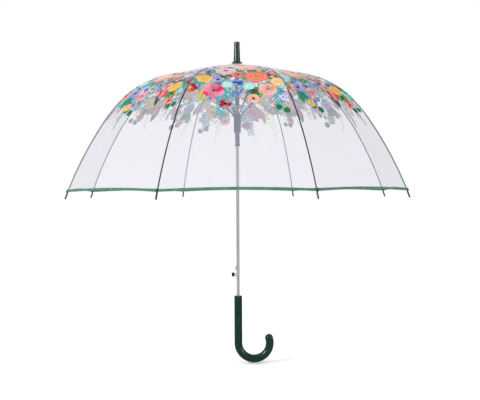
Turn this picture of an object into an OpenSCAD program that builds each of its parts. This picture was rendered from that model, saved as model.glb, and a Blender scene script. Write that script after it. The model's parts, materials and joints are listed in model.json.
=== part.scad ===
// Clear dome umbrella, open, with a hooked handle. Millimetres, +Z up along the shaft.
// Origin: on the shaft's axis, at the middle of the handle's straight grip. The hook points to +X.

/* [Shaft and handle] */
// Outside radius of the shaft tube
shaft_r = 4; // [3:0.5:7]
// Wall of the shaft tube
shaft_wall = 0.5; // [0.4:0.1:1]
// Radius of the handle's rod
handle_r = 10.3; // [7:0.1:14]
// Top of the handle above the origin
handle_top = 64; // [40:0.5:90]
// Centre-line radius of the hook
hook_r = 41.2; // [30:0.1:60]
// Turn of the hook from the straight grip to its round end, degrees
hook_turn = 198; // [150:1:230]
// Height at which the hook starts, below the origin
hook_start = 59.5; // [40:0.1:90]
// Radius of the rounded end of the hook
hook_end_r = 10.5; // [7:0.1:15]

/* [Ribs] */
// Height of the rib pivots at the crown
crown_z = 659; // [500:1:800]
// Distance of the crown pivots from the axis
crown_rho = 8; // [7:0.5:12]
// Radius of the rib's round rod
rib_r = 1.5; // [1:0.1:1.5]
// Lengths of the rib's four bends, crown to tip
bend_length = [176, 155, 64, 213];
// Slope below level where each bend starts, and at the very tip, degrees
bend_slope = [3.2, 11.8, 47.3, 56.3, 69.5];
// Length along the rib from the crown pivot to the flex joint
flex_s = 214; // [150:1:280]
// Length along the rib where the film's hem begins
hem_s = 585; // [560:1:600]
// Height of the hem band along the rib
hem_height = 5.4; // [3:0.1:12]
// Length along the rib where the tip cap begins
tip_s = 591; // [560:1:605]
// Radius of the tip cap
tip_r = 2; // [1.8:0.1:4]
// Radius of the small clips that tie the film to the rib, where its bends meet
clip_r = 1.7; // [1.6:0.1:2]

/* [Linkage] */
// Distance of the stretcher pivots from the axis
slider_rho = 7.4; // [7:0.1:9]
// Height of the stretcher pivots on the spring slider
slider_z = 597; // [560:1:620]
// Distance of the strut pivots from the axis
runner_rho = 8; // [7:0.1:9]
// Height of the strut pivots on the runner
runner_z = 537; // [500:1:560]
// Distance from the slider pivot to the strut pivot along the stretcher
strut_on_stretcher = 77; // [50:1:110]
// Half depth of the stretchers and struts, seen from the side
bar_half = 1.2; // [0.8:0.1:1.4]
// Length of the stretcher's fork
fork_length = 62; // [40:1:80]

/* [Film] */
// Thickness of the film as a solid
film_t = 0.2; // [0.1:0.05:1]
// Clear gap between rib and film
film_gap = 1; // [0.8:0.05:2]
// Height that the film is drawn up round the shaft, above the ribs
crown_lift = 10.5; // [0:0.5:12]

/* [Spring] */
// Turns of the opening spring
spring_turns = 18; // [10:1:30]
// Radius of the spring's wire
spring_wire_r = 0.55; // [0.3:0.05:0.8]
// Radius of the spring's coil, to the middle of the wire
spring_coil_r = 5; // [4.8:0.1:5.4]

/* [Hidden] */
$fn = 64;
ribs = 8;
half_step = 180 / ribs;
rho_scale = cos(half_step);
fit_gap = 0.06;
shaft_bottom = 20;
shaft_top = 700;
wire_r = 0.6;
wire_hole_r = 0.9;
eye_r = 1.5;
bar_inner = 0.1;
bar_outer = 1.9;
fork_outer = 2.8;
clip_length = 3;
flex_pin_r = 0.93;
flex_hole_r = 1;
flex_eye_r = 2;
fork_eye_r = 1.8;
crown_eye_r = 1.9;
crown_hole_r = 0.75;
pivot_eye_r = 2;
pivot_hole_r = 0.8;
lap = 6;
sleeve_r = 5.6;
sleeve_top = 647;
sleeve_bottom = 564.5;
slider_hub_r = 8.5;
slider_hub_half = 3;
runner_top = 540.4;
runner_body_r = 9;
runner_hub_r = 9.5;
runner_body_bottom = 493;
runner_bore_r = 6.1;
runner_bore_bottom = 497;
neck_r = 5.8;
flange_r = 7.25;
flange_z = [457.6, 460.8];
window_z = [461.2, 474.4];
window_half = 2.2;
catch_z = [133.1, 144.6];
catch_out = 8.5;
catch_half = 1;
button_z = [112.5, 124.2];
button_half = 1.7;
slot_play = 0.25;
cap_x = [-16.5, -10];
cap_z = [115, 125.2];
cap_half = 3.6;
cap_round = 1.4;
leaf_x = [-3, -2.5];
leaf_z = [112, 149];
rivet_z = 109;
rivet_r = 1.1;
ferrule_bottom = 680;
ferrule_top = 731;
ferrule_r = 7.4;
ferrule_base_r = 8.7;
ferrule_straight_z = 712;
ferrule_round = 2;
skirt_z = [675, 680];
skirt_r = 12.4;
lobe_r = 2.6;
lobe_at = 11.9;
lobes = 12;
collar_z = 662.2;
collar_r = 7;
notch_r = 10.6;
notch_z = [655.4, 660.5];
notch_core_r = 6;
film_steps = 46;
film_start_s = 0.1;
film_in = rib_r + film_gap;
film_out = film_in + film_t;
hem_out = film_out + 0.6;
seam_gap = 0.1;
far = 700;
wedge_tan = tan(half_step);
spring_z = [497.8, 564];
spring_sides = 6;
spring_steps = 14;

function bend_r(i) = bend_length[i] / (bend_slope[i + 1] - bend_slope[i]) * 180 / PI;
function bend_s(i) = i == 0 ? 0 : bend_s(i - 1) + bend_length[i - 1];
function bend_move(i, a) = bend_r(i) * [sin(a) - sin(bend_slope[i]), cos(a) - cos(bend_slope[i])];
function bend_start(i) = i == 0 ? [crown_rho, crown_z] : bend_start(i - 1) + bend_move(i - 1, bend_slope[i]);
function bend_centre(i) = bend_start(i) - bend_r(i) * [sin(bend_slope[i]), cos(bend_slope[i])];
function bend_of(s) = s < bend_s(1) ? 0 : s < bend_s(2) ? 1 : s < bend_s(3) ? 2 : 3;
function slope_at(s) = bend_slope[bend_of(s)] + (s - bend_s(bend_of(s))) / bend_r(bend_of(s)) * 180 / PI;
function rib_at(s) = bend_centre(bend_of(s)) + bend_r(bend_of(s)) * [sin(slope_at(s)), cos(slope_at(s))];
function rib_off(s, d) = rib_at(s) + d * [sin(slope_at(s)), cos(slope_at(s))];
function film_lift(s) = crown_lift * pow(max(0, 1 - s / flex_s), 2);
function film_at(s, d) = [rib_off(s, d)[0] * rho_scale, rib_off(s, d)[1]];

flex_p = rib_at(flex_s);
stretcher_dir = [flex_p[0] - slider_rho, flex_p[1] - slider_z];
stretcher_len = norm(stretcher_dir);
stretcher_lift = atan2(stretcher_dir[1], stretcher_dir[0]);
strut_p = [slider_rho, slider_z] + strut_on_stretcher * [cos(stretcher_lift), sin(stretcher_lift)];
strut_dir = [strut_p[0] - runner_rho, strut_p[1] - runner_z];
strut_len = norm(strut_dir);
strut_lift = atan2(strut_dir[1], strut_dir[0]);

// A flat piece drawn in the plane through the axis, between two distances across that plane
module plate(t0, t1) {
  translate([0, t1, 0]) rotate([90, 0, 0]) linear_extrude(t1 - t0) children();
}

// The part of the rib's round rod that lies on one bend
module rod_bend(i, s0, s1) {
  a0 = bend_slope[i] + (s0 - bend_s(i)) / bend_r(i) * 180 / PI;
  a1 = bend_slope[i] + (s1 - bend_s(i)) / bend_r(i) * 180 / PI;
  translate([bend_centre(i)[0], 0, bend_centre(i)[1]])
    rotate([90, 0, 0])
      rotate([0, 0, 90 - a1])
        rotate_extrude(angle = a1 - a0) translate([bend_r(i), 0]) circle(r = rib_r);
}

// A bar between two round eyes, lying along +X from the first eye
module bar_outline(length, first_r, last_r) {
  circle(r = first_r);
  translate([length, 0]) circle(r = last_r);
  translate([0, -bar_half]) square([length, bar_half * 2]);
}

// A clip round the rod at a length along the rib
module clip_at(s) {
  translate([rib_at(s)[0], 0, rib_at(s)[1]])
    rotate([0, 90 + slope_at(s), 0])
      cylinder(h = clip_length, r = clip_r, center = true);
}

module rib_inner(k) {
  color([0.29, 0.33, 0.42])
    rotate([0, 0, half_step + k * 2 * half_step]) {
      difference() {
        union() {
          rod_bend(0, 1.4, bend_s(1));
          rod_bend(1, bend_s(1), flex_s - lap + 1);
          clip_at(bend_s(1));
          plate(-1, 1) translate([crown_rho, crown_z]) circle(r = crown_eye_r);
        }
        plate(-2, 2) translate([crown_rho, crown_z]) circle(r = crown_hole_r);
      }
      plate(-rib_r, -bar_inner)
        translate(flex_p) {
          circle(r = flex_eye_r);
          rotate(180 - slope_at(flex_s)) translate([0, -rib_r]) square([lap, rib_r * 2]);
        }
      plate(-bar_inner, rib_r) translate(flex_p) circle(r = flex_pin_r);
    }
}

module rib_outer(k) {
  color([0.29, 0.33, 0.42])
    rotate([0, 0, half_step + k * 2 * half_step]) {
      rod_bend(1, flex_s + lap - 1, bend_s(2));
      rod_bend(2, bend_s(2), bend_s(3));
      rod_bend(3, bend_s(3), tip_s + 7);
      clip_at(bend_s(2));
      clip_at(bend_s(3));
      difference() {
        plate(bar_inner, rib_r)
          translate(flex_p) {
            circle(r = flex_eye_r);
            rotate(-slope_at(flex_s)) translate([0, -rib_r]) square([lap, rib_r * 2]);
          }
        plate(-2, 2) translate(flex_p) circle(r = flex_hole_r);
      }
    }
}

module tip(k) {
  at = rib_at(tip_s + 3.5);
  color([0.09, 0.27, 0.18])
    rotate([0, 0, half_step + k * 2 * half_step])
      translate([at[0], 0, at[1]])
        rotate([0, 90 + slope_at(tip_s + 3.5), 0])
          difference() {
            union() {
              translate([0, 0, -3.5]) cylinder(h = 15.5, r = tip_r);
              translate([0, 0, 12]) cylinder(h = 1.2, r1 = tip_r, r2 = tip_r * 0.6);
            }
            translate([0, 0, -4]) cylinder(h = 8.5, r = rib_r + 0.08);
          }
}

module stretcher(k) {
  color([0.36, 0.4, 0.5])
    rotate([0, 0, half_step + k * 2 * half_step])
      translate([slider_rho, 0, slider_z])
        rotate([0, -stretcher_lift, 0])
          difference() {
            union() {
              plate(-bar_outer, -bar_inner) bar_outline(stretcher_len - fork_length, eye_r, bar_half);
              plate(-fork_outer, fork_outer)
                translate([stretcher_len - fork_length - 4, -bar_half]) square([4, bar_half * 2]);
              plate(bar_outer, fork_outer)
                translate([stretcher_len - fork_length - 4, 0]) bar_outline(fork_length + 4, bar_half, fork_eye_r);
              plate(-fork_outer, -bar_outer)
                translate([stretcher_len - fork_length - 4, 0]) bar_outline(fork_length + 4, bar_half, fork_eye_r);
              plate(-bar_outer, -bar_inner) translate([strut_on_stretcher, 0]) circle(r = pivot_eye_r);
            }
            plate(-4, 4) circle(r = wire_hole_r);
            plate(-4, 4) translate([strut_on_stretcher, 0]) circle(r = pivot_hole_r);
            plate(-4, 4) translate([stretcher_len, 0]) circle(r = flex_hole_r);
          }
}

module strut(k) {
  color([0.36, 0.4, 0.5])
    rotate([0, 0, half_step + k * 2 * half_step])
      translate([runner_rho, 0, runner_z])
        rotate([0, -strut_lift, 0])
          plate(bar_inner, bar_outer)
            difference() {
              bar_outline(strut_len, eye_r - 0.1, pivot_eye_r);
              circle(r = wire_hole_r);
              translate([strut_len, 0]) circle(r = pivot_hole_r);
            }
}

module shaft_tube() {
  color([0.78, 0.74, 0.77])
    difference() {
      translate([0, 0, shaft_bottom]) cylinder(h = shaft_top - shaft_bottom, r = shaft_r);
      translate([0, 0, shaft_bottom - 1]) cylinder(h = shaft_top - shaft_bottom + 2, r = shaft_r - shaft_wall);
      translate([-shaft_r - 2, -catch_half - slot_play, catch_z[0] - 0.4])
        cube([shaft_r + 1, 2 * (catch_half + slot_play), catch_z[1] - catch_z[0] + 2.4]);
      translate([-shaft_r - 2, -button_half - slot_play, button_z[0] - slot_play])
        cube([shaft_r + 1, 2 * (button_half + slot_play), button_z[1] - button_z[0] + 2 * slot_play]);
      translate([0, 0, rivet_z]) rotate([90, 0, 0]) cylinder(h = 12, r = rivet_r + 0.05, center = true);
    }
}

module handle_crook() {
  end_a = hook_turn - 180;
  color([0.07, 0.22, 0.15]) {
    difference() {
      union() {
        translate([0, 0, -hook_start]) cylinder(h = hook_start + handle_top - 1, r = handle_r);
        translate([0, 0, handle_top - 1]) cylinder(h = 1, r1 = handle_r, r2 = handle_r - 0.8);
      }
      translate([0, 0, shaft_bottom - 0.5]) cylinder(h = 60, r = shaft_r + 0.05);
    }
    translate([hook_r, 0, -hook_start])
      rotate([90, 0, 0])
        rotate([0, 0, 180])
          rotate_extrude(angle = hook_turn) translate([hook_r, 0]) circle(r = handle_r);
    translate([hook_r + hook_r * cos(end_a), 0, -hook_start + hook_r * sin(end_a)]) sphere(r = hook_end_r);
  }
}

module shaft_rivet() {
  color([0.62, 0.6, 0.62])
    translate([0, 0, rivet_z]) rotate([90, 0, 0]) {
      cylinder(h = 8.6, r = rivet_r, center = true);
      translate([0, 0, shaft_r + 0.02]) cylinder(h = 0.7, r1 = rivet_r + 0.5, r2 = rivet_r - 0.1);
      rotate([180, 0, 0])
        translate([0, 0, shaft_r + 0.02]) cylinder(h = 0.7, r1 = rivet_r + 0.5, r2 = rivet_r - 0.1);
    }
}

module catch_leaf() {
  color([0.75, 0.7, 0.72])
    translate([leaf_x[0], -catch_half + 0.1, leaf_z[0]])
      cube([leaf_x[1] - leaf_x[0], 2 * catch_half - 0.2, leaf_z[1] - leaf_z[0]]);
}

module catch_wedge() {
  color([0.74, 0.68, 0.7])
    plate(-catch_half, catch_half)
      polygon([
        [leaf_x[0], catch_z[1] + 1.6], [-shaft_r, catch_z[1]], [-catch_out, catch_z[0] + 1.4],
        [-catch_out, catch_z[0]], [leaf_x[0], catch_z[0]]
      ]);
}

module release_button() {
  color([0.78, 0.68, 0.64])
    plate(-button_half, button_half)
      polygon([
        [leaf_x[0] - 0.1, button_z[1] - 0.3], [cap_x[1], button_z[1]], [cap_x[1], button_z[0] + 4],
        [-shaft_r - 0.4, button_z[0]], [leaf_x[0] - 0.1, button_z[0]]
      ]);
}

module button_cap() {
  inner = [cap_half * 2 - cap_round * 2, cap_z[1] - cap_z[0] - cap_round * 2];
  color([0.02, 0.02, 0.02])
    translate([cap_x[0], -cap_half, cap_z[0]])
      rotate([90, 0, 90])
        linear_extrude(cap_x[1] - cap_x[0])
          translate([cap_round, cap_round]) {
            translate([-cap_round, 0]) square([inner[0] + 2 * cap_round, inner[1]]);
            translate([0, -cap_round]) square([inner[0], inner[1] + 2 * cap_round]);
            circle(r = cap_round);
            translate([inner[0], 0]) circle(r = cap_round);
            translate([0, inner[1]]) circle(r = cap_round);
            translate(inner) circle(r = cap_round);
          }
}

module ferrule() {
  color([0.08, 0.26, 0.17])
    difference() {
      rotate_extrude() {
        polygon([
          [0, ferrule_bottom], [ferrule_base_r, ferrule_bottom], [ferrule_r, ferrule_straight_z],
          [ferrule_r, ferrule_top - ferrule_round], [ferrule_r - ferrule_round, ferrule_top - ferrule_round],
          [ferrule_r - ferrule_round, ferrule_top], [0, ferrule_top]
        ]);
        translate([ferrule_r - ferrule_round, ferrule_top - ferrule_round])
          intersection() {
            circle(r = ferrule_round);
            square([ferrule_round, ferrule_round]);
          }
      }
      translate([0, 0, ferrule_bottom - 1]) cylinder(h = shaft_top - ferrule_bottom + 1.5, r = shaft_r + 0.05);
    }
}

module top_skirt() {
  color([0.1, 0.3, 0.2])
    difference() {
      union() {
        translate([0, 0, skirt_z[0] + 1.4]) cylinder(h = 3.6, r1 = skirt_r, r2 = ferrule_base_r + 0.6);
        translate([0, 0, skirt_z[0]]) cylinder(h = 1.4, r = skirt_r);
        for (i = [0:lobes - 1])
          rotate([0, 0, i * 360 / lobes]) translate([lobe_at, 0, skirt_z[0]]) cylinder(h = 1.4, r = lobe_r);
      }
      translate([0, 0, skirt_z[0] - 1]) cylinder(h = 7, r = shaft_r + 0.05);
    }
}

module film_collar() {
  color([0.86, 0.8, 0.86, 0.6])
    difference() {
      translate([0, 0, collar_z]) cylinder(h = skirt_z[0] - collar_z, r = collar_r);
      translate([0, 0, collar_z - 1]) cylinder(h = 20, r = shaft_r + 0.05);
    }
}

// The ring that holds all the rib ends under the film
module crown_notch() {
  color([0.36, 0.4, 0.5])
    difference() {
      union() {
        translate([0, 0, notch_z[0]]) cylinder(h = notch_z[1] - notch_z[0], r = notch_r);
        translate([0, 0, sleeve_top + 0.3]) cylinder(h = notch_z[0] - sleeve_top, r = sleeve_r - 0.2);
      }
      translate([0, 0, sleeve_top]) cylinder(h = 20, r = shaft_r + 0.05);
      translate([0, 0, crown_z]) rotate_extrude() translate([crown_rho, 0]) circle(r = wire_r + 0.1);
      for (k = [0:ribs - 1])
        rotate([0, 0, half_step + k * 2 * half_step])
          translate([notch_core_r, -rib_r - 0.3, notch_z[0] - 1]) cube([10, 2 * rib_r + 0.6, 10]);
    }
}

module crown_wire() {
  color([0.6, 0.6, 0.64])
    translate([0, 0, crown_z]) rotate_extrude() translate([crown_rho, 0]) circle(r = wire_r);
}

// The sleeve and slotted hub that pull on the stretchers
module spring_slider() {
  color([0.36, 0.4, 0.5])
    difference() {
      union() {
        translate([0, 0, sleeve_bottom]) cylinder(h = sleeve_top - sleeve_bottom, r = sleeve_r);
        translate([0, 0, slider_z - slider_hub_half]) cylinder(h = 2 * slider_hub_half, r = slider_hub_r);
      }
      translate([0, 0, sleeve_bottom - 1]) cylinder(h = 100, r = shaft_r + fit_gap);
      translate([0, 0, slider_z]) rotate_extrude() translate([slider_rho, 0]) circle(r = wire_r + 0.1);
      for (k = [0:ribs - 1])
        rotate([0, 0, half_step + k * 2 * half_step])
          translate([slider_rho - eye_r - 0.1, -bar_outer - 0.3, slider_z - eye_r - 0.3])
            cube([8, bar_outer - bar_inner + 0.6, 8]);
    }
}

module slider_wire() {
  color([0.6, 0.6, 0.64])
    translate([0, 0, slider_z]) rotate_extrude() translate([slider_rho, 0]) circle(r = wire_r);
}

// The hand-held runner, bored out above to take in the spring and the sleeve
module runner() {
  color([0.36, 0.4, 0.5])
    difference() {
      union() {
        translate([0, 0, runner_z - 4.5]) cylinder(h = runner_top - runner_z + 4.5, r = runner_hub_r);
        translate([0, 0, runner_body_bottom]) cylinder(h = runner_z - 4.5 - runner_body_bottom, r = runner_body_r);
        translate([0, 0, flange_z[0]]) cylinder(h = runner_body_bottom - flange_z[0], r = neck_r);
        translate([0, 0, flange_z[0]]) cylinder(h = flange_z[1] - flange_z[0], r = flange_r);
      }
      translate([0, 0, flange_z[0] - 1]) cylinder(h = 100, r = shaft_r + fit_gap);
      translate([0, 0, runner_bore_bottom]) cylinder(h = 60, r = runner_bore_r);
      translate([-10, -window_half, window_z[0]]) cube([10, 2 * window_half, window_z[1] - window_z[0]]);
      translate([0, 0, runner_z]) rotate_extrude() translate([runner_rho, 0]) circle(r = wire_r + 0.1);
      for (k = [0:ribs - 1])
        rotate([0, 0, half_step + k * 2 * half_step])
          translate([runner_rho - eye_r, bar_inner - 0.3, runner_z - eye_r - 0.3])
            cube([8, bar_outer - bar_inner + 0.6, 8]);
    }
}

module runner_wire() {
  color([0.6, 0.6, 0.64])
    translate([0, 0, runner_z]) rotate_extrude() translate([runner_rho, 0]) circle(r = wire_r);
}

module main_spring() {
  n = spring_turns * spring_steps;
  rise = (spring_z[1] - spring_z[0] - 2 * spring_wire_r) / n;
  points = [
    for (i = [0:n]) for (j = [0:spring_sides - 1])
      let (a = i * 360 / spring_steps, b = j * 360 / spring_sides, q = spring_coil_r + spring_wire_r * cos(b))
        [q * cos(a), q * sin(a), spring_z[0] + spring_wire_r + i * rise + spring_wire_r * sin(b)]
  ];
  walls = [
    for (i = [0:n - 1]) for (j = [0:spring_sides - 1])
      let (j2 = (j + 1) % spring_sides)
        [i * spring_sides + j, i * spring_sides + j2, (i + 1) * spring_sides + j2, (i + 1) * spring_sides + j]
  ];
  first = [for (j = [0:spring_sides - 1]) spring_sides - 1 - j];
  last = [for (j = [0:spring_sides - 1]) n * spring_sides + j];
  color([0.72, 0.72, 0.76]) polyhedron(points = points, faces = concat(walls, [first], [last]));
}

// One gore's slice of space, between the two ribs that border it
module gore_slice(gap) {
  apex = gap / sin(half_step);
  linear_extrude(crown_z + 100)
    polygon([[apex, 0], [far, (far - apex) * wedge_tan], [far, -(far - apex) * wedge_tan]]);
}

module gore(k) {
  step = (hem_s - film_start_s) / film_steps;
  rotate([0, 0, k * 2 * half_step])
    intersection() {
      plate(-far / 2, far / 2)
        polygon(concat(
          [for (i = [0:film_steps]) let (s = film_start_s + i * step) film_at(s, film_out + film_lift(s))],
          [for (i = [film_steps:-1:0]) let (s = film_start_s + i * step) film_at(s, film_in + film_lift(s))]
        ));
      gore_slice(seam_gap);
    }
}

module canopy() {
  color([0.91, 0.9, 0.94, 0.35])
    for (k = [0:ribs - 1]) gore(k);
}

module hem_binding() {
  color([0.16, 0.42, 0.3])
    for (k = [0:ribs - 1])
      rotate([0, 0, k * 2 * half_step])
        intersection() {
          plate(-far / 2, far / 2)
            polygon([
              film_at(hem_s + 0.05, film_in), film_at(hem_s + 0.05, hem_out),
              film_at(hem_s + hem_height, hem_out), film_at(hem_s + hem_height, film_in)
            ]);
          gore_slice(-0.02);
        }
}

shaft_tube();
handle_crook();
shaft_rivet();
catch_leaf();
catch_wedge();
release_button();
button_cap();
ferrule();
top_skirt();
film_collar();
crown_notch();
crown_wire();
spring_slider();
slider_wire();
runner();
runner_wire();
main_spring();
canopy();
hem_binding();
rib_inner(0);  // rib_inner_1
rib_inner(1);  // rib_inner_2
rib_inner(2);  // rib_inner_3
rib_inner(3);  // rib_inner_4
rib_inner(4);  // rib_inner_5
rib_inner(5);  // rib_inner_6
rib_inner(6);  // rib_inner_7
rib_inner(7);  // rib_inner_8
rib_outer(0);  // rib_outer_1
rib_outer(1);  // rib_outer_2
rib_outer(2);  // rib_outer_3
rib_outer(3);  // rib_outer_4
rib_outer(4);  // rib_outer_5
rib_outer(5);  // rib_outer_6
rib_outer(6);  // rib_outer_7
rib_outer(7);  // rib_outer_8
tip(0);  // tip_1
tip(1);  // tip_2
tip(2);  // tip_3
tip(3);  // tip_4
tip(4);  // tip_5
tip(5);  // tip_6
tip(6);  // tip_7
tip(7);  // tip_8
stretcher(0);  // stretcher_1
stretcher(1);  // stretcher_2
stretcher(2);  // stretcher_3
stretcher(3);  // stretcher_4
stretcher(4);  // stretcher_5
stretcher(5);  // stretcher_6
stretcher(6);  // stretcher_7
stretcher(7);  // stretcher_8
strut(0);  // strut_1
strut(1);  // strut_2
strut(2);  // strut_3
strut(3);  // strut_4
strut(4);  // strut_5
strut(5);  // strut_6
strut(6);  // strut_7
strut(7);  // strut_8
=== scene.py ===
"""Clear dome umbrella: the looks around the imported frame. Metres, row frame, +Z up the shaft."""

import json
import math
import random

import bmesh
import bpy
import numpy as np
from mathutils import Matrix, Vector


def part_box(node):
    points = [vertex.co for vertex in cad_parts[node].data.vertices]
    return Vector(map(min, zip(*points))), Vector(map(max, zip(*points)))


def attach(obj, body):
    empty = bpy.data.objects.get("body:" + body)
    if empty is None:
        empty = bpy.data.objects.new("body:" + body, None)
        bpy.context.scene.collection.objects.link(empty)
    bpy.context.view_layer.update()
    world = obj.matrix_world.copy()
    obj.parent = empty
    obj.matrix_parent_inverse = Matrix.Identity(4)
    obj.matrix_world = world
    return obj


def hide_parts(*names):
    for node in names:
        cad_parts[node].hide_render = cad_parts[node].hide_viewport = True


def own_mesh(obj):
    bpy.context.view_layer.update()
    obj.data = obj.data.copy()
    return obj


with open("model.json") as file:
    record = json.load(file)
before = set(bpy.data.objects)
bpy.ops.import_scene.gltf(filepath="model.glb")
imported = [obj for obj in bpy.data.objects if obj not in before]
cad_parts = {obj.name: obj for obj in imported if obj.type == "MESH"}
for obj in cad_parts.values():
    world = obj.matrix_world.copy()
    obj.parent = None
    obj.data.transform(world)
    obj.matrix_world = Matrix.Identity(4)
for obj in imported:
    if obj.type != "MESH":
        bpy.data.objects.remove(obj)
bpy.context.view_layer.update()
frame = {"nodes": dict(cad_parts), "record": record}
scene = bpy.context.scene

# ---------------------------------------------------------------- sizes
RIBS = 8
HALF_STEP = math.radians(180 / RIBS)

# The rib's centre-line as in the CAD: four bends of steady curvature, (length, slope below level at its start)
BENDS = ((0.176, 3.2), (0.155, 11.8), (0.064, 47.3), (0.213, 56.3))
LAST_SLOPE = 69.5  # slope at the tip
CROWN = (0.008, 0.659)  # the rib's inner end: distance from the axis, height
FLEX_S = 0.214  # where the rib's inner length meets its outer length
FILM_OFF = 0.0026  # rib centre-line to film
CROWN_LIFT = 0.0105  # the film is drawn up this far round the shaft
FILM_START = 0.0001  # where the film begins, along the rib
HEM_S = 0.5877  # middle of the hem band, at a rib
HEM_HALF, HEM_THICK = 0.0031, 0.0008  # half the tape's width, and half its thickness
HEM_SIDES, HEM_STEPS = 16, 10  # round the tape, and along half a gore
HEM_EASE = 0.03  # length over which the film's rows bend to the hem's arc
HEM_RISE = 0.0045  # how far the hem climbs between two ribs
CUT_STEPS = 200  # strips that a gore's flat area is summed from
SEAM_HALF = 0.0035  # half the width of the weld along each rib

PRINT_EDGE = 0.0021  # the print stops this far from a rib's centre-line
PRINT_LEAST = 0.6  # but it always covers this share of the gore's width
PRINT_START = 0.004  # where the print begins, along the rib
PRINT_GAP = 0.00012  # film to the first layer of ink
LAYER = 0.00007  # one layer of ink to the next
STRIP = 0.006  # the film bends in flat strips this long, and so does the print on it

SLIDER = (0.0074, 0.597)  # the stretchers' pivots on the slider: distance from the axis, height
STRUT_ON = 0.077  # along a stretcher to its strut's pivot
FORK_HALF, PIVOT_HALF = 0.0028, 0.0019  # half widths of the stretcher at its two rivets
POCKET = (0.0033, 0.0042, 0.0016)  # half width, half height and thickness of a tip's pocket
SPRING_Z = (0.4978, 0.564)  # from the runner to the slider
SPRING_R, SPRING_WIRE = 0.005, 0.00055
SPRING_TURNS, SPRING_STEPS, SPRING_SIDES = 18, 28, 8
COLLAR_WALL, COLLAR_SIDES = 0.0004, 96
PLEATS, PLEAT_DEPTH = 24, 0.045  # in the collar; the depth is a share of its radius


# ---------------------------------------------------------------- the film's surface
def rib_point(s, off=0.0):
    """(distance from the axis, height, slope in radians) at a length s along a rib, off outside its centre-line."""
    r, z = CROWN
    left = s
    for i, (length, slope) in enumerate(BENDS):
        end = BENDS[i + 1][1] if i + 1 < len(BENDS) else LAST_SLOPE
        a0, a1 = math.radians(slope), math.radians(end)
        bend_r = length / (a1 - a0)
        last = i + 1 == len(BENDS)
        part = left if last or left < length else length
        a = a0 + part / bend_r
        r += bend_r * (math.sin(a) - math.sin(a0))
        z += bend_r * (math.cos(a) - math.cos(a0))
        left -= part
        if left <= 0:
            break
    return r + off * math.sin(a), z + off * math.cos(a), a


def film_point(s):
    """As rib_point, for the film: it leaves the ribs near the crown and rises to the ferrule."""
    left = max(0.0, 1 - s / FLEX_S)
    r, z, slope = rib_point(s, FILM_OFF + CROWN_LIFT * left * left)
    return r, z, slope + math.atan(2 * CROWN_LIFT / FLEX_S * left)


def half_width(s):
    return film_point(s)[0] * math.sin(HALF_STEP)


def about_shaft(x, y, a):
    return (x * math.cos(a) - y * math.sin(a), x * math.sin(a) + y * math.cos(a))


def gore_point(gore, s, u, lift=0.0):
    """A point on a gore: s along the ribs, u from -1 at one rib to 1 at the next, lift outward from the film."""
    r, z, slope = film_point(s)
    normal = gore_normal(slope)
    x = r * math.cos(HALF_STEP) + lift * normal[0]
    y = r * math.sin(HALF_STEP) * u
    return (*about_shaft(x, y, gore * 2 * HALF_STEP), z + lift * normal[1])


def gore_normal(slope):
    n = (math.sin(slope), math.cos(HALF_STEP) * math.cos(slope))
    size = math.hypot(*n)
    return (n[0] / size, n[1] / size)


def world_normal(gore, s):
    x, z = gore_normal(film_point(s)[2])
    a = gore * 2 * HALF_STEP
    return (x * math.cos(a), x * math.sin(a), z)


def rib_angle(rib):
    return HALF_STEP + rib * 2 * HALF_STEP


def ride_rib(piece, rib, part):
    """The piece folds with one length of a rib: it rides on it."""
    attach(piece, f"rib_{part}_{rib + 1}")
    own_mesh(piece)


# ---------------------------------------------------------------- materials
class Nodes:
    """Short names for the few node patterns the materials share."""

    def __init__(self, name):
        self.material = bpy.data.materials.new(name)
        self.material.use_nodes = True
        self.tree = self.material.node_tree
        self.tree.nodes.clear()
        self.out = self.add("OutputMaterial")

    def add(self, kind, **values):
        node = self.tree.nodes.new("ShaderNode" + kind)
        for key, value in values.items():
            if key in node.bl_rna.properties:
                setattr(node, key, value)
            else:
                node.inputs[key.replace("_", " ")].default_value = value
        return node

    def link(self, a, b):
        self.tree.links.new(a, b)

    def noise(self, scale, detail=4.0, roughness=0.5, stretch=(1, 1, 1)):
        where = self.add("TexCoord")
        turn = self.add("Mapping")
        turn.inputs["Scale"].default_value = stretch
        self.link(where.outputs["Object"], turn.inputs["Vector"])
        noise = self.add("TexNoise", Scale=scale, Detail=detail, Roughness=roughness)
        self.link(turn.outputs["Vector"], noise.inputs["Vector"])
        return noise.outputs["Fac"]

    def ramp(self, fac, low, high, at=(0.3, 0.7)):
        ramp = self.add("ValToRGB")
        for i, colour in enumerate((low, high)):
            ramp.color_ramp.elements[i].color = (*colour, 1)
            ramp.color_ramp.elements[i].position = at[i]
        self.link(fac, ramp.inputs["Fac"])
        return ramp.outputs["Color"]

    def range(self, fac, low, high, at=(0.0, 1.0)):
        node = self.add("MapRange")
        node.inputs["From Min"].default_value = at[0]
        node.inputs["From Max"].default_value = at[1]
        node.inputs["To Min"].default_value = low
        node.inputs["To Max"].default_value = high
        self.link(fac, node.inputs["Value"])
        return node.outputs["Result"]

    def turned_away(self, low, high, at):
        """From low where the surface faces the eye to high where it is seen at a slant: the film's haze, and the
        pale painted reflection laid over the print. Both depend on the view."""
        weight = self.add("LayerWeight", Blend=0.5)
        return self.range(weight.outputs["Facing"], low, high, at)

    def bump(self, height, strength, distance):
        bump = self.add("Bump", Strength=strength, Distance=distance)
        self.link(height, bump.inputs["Height"])
        return bump.outputs["Normal"]

    def finish(self, shader):
        self.link(shader, self.out.inputs["Surface"])
        return self.material


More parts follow.
